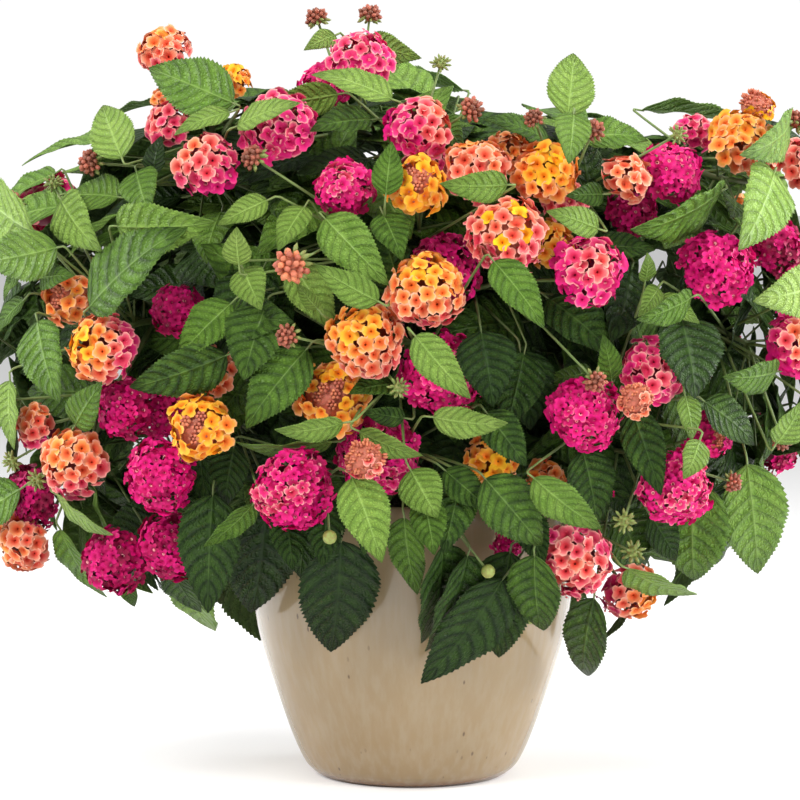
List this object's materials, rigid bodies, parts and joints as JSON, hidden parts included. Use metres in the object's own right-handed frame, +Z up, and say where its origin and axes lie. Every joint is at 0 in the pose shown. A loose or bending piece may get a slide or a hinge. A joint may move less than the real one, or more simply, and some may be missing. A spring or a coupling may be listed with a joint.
{
  "type": "potted lantana",
  "caption": "Lantana in flower with toothed leaves and domed heads of small florets, planted in a glazed bowl-shaped pot.",
  "frame": {"origin": "middle of the pot's flat foot, on the surface it stands on", "axes": "+Z up along the pot's axis, -Y towards the front of the plant, +X to the viewer's right"},
  "size_m": [0.601, 0.4626, 0.5065],
  "materials": {
    "bark": "matte",
    "foliage": "satin",
    "glaze": "gloss",
    "petals_coral": "matte",
    "petals_crimson": "matte",
    "petals_magenta": "matte",
    "petals_orange": "matte",
    "petals_pink": "matte",
    "soil": "matte"
  },
  "bodies": {
    "root": {"bloom_01": "petals_orange", "bloom_02": "petals_pink", "bloom_03": "petals_pink", "bloom_04": "petals_coral", "bloom_05": "petals_magenta", "bloom_06": "petals_orange", "bloom_07": "petals_coral", "bloom_08": "petals_orange", "bloom_09": "petals_coral", "bloom_10": "petals_orange", "bloom_11": "petals_orange", "bloom_12": "petals_magenta", "bloom_13": "petals_magenta", "bloom_14": "petals_pink", "bloom_15": "petals_coral", "bloom_16": "petals_orange", "bloom_17": "petals_magenta", "bloom_18": "petals_coral", "bloom_19": "petals_crimson", "bloom_20": "petals_crimson", "bloom_21": "petals_magenta", "bloom_22": "petals_crimson", "bloom_23": "petals_orange", "bloom_24": "petals_coral", "bloom_25": "petals_magenta", "bloom_26": "petals_magenta", "bloom_27": "petals_magenta", "bloom_28": "petals_coral", "bloom_29": "petals_pink", "bloom_30": "petals_orange", "bloom_31": "petals_coral", "bloom_32": "petals_magenta", "bloom_33": "petals_coral", "bloom_34": "petals_pink", "bloom_35": "petals_orange", "bloom_36": "petals_crimson", "bloom_37": "petals_magenta", "bloom_38": "petals_coral", "bloom_39": "petals_pink", "bloom_40": "petals_orange", "bloom_41": "petals_crimson", "leafy_branch_01": "foliage", "leafy_branch_02": "foliage", "leafy_branch_03": "foliage", "leafy_branch_04": "foliage", "leafy_branch_05": "foliage", "leafy_branch_06": "foliage", "leafy_branch_07": "foliage", "leafy_branch_08": "foliage", "leafy_branch_09": "foliage", "leafy_branch_10": "foliage", "leafy_branch_11": "foliage", "leafy_branch_12": "foliage", "leafy_branch_13": "foliage", "pot": "glaze", "soil": "soil", "woody_base": "bark"}
  },
  "joints": []
}
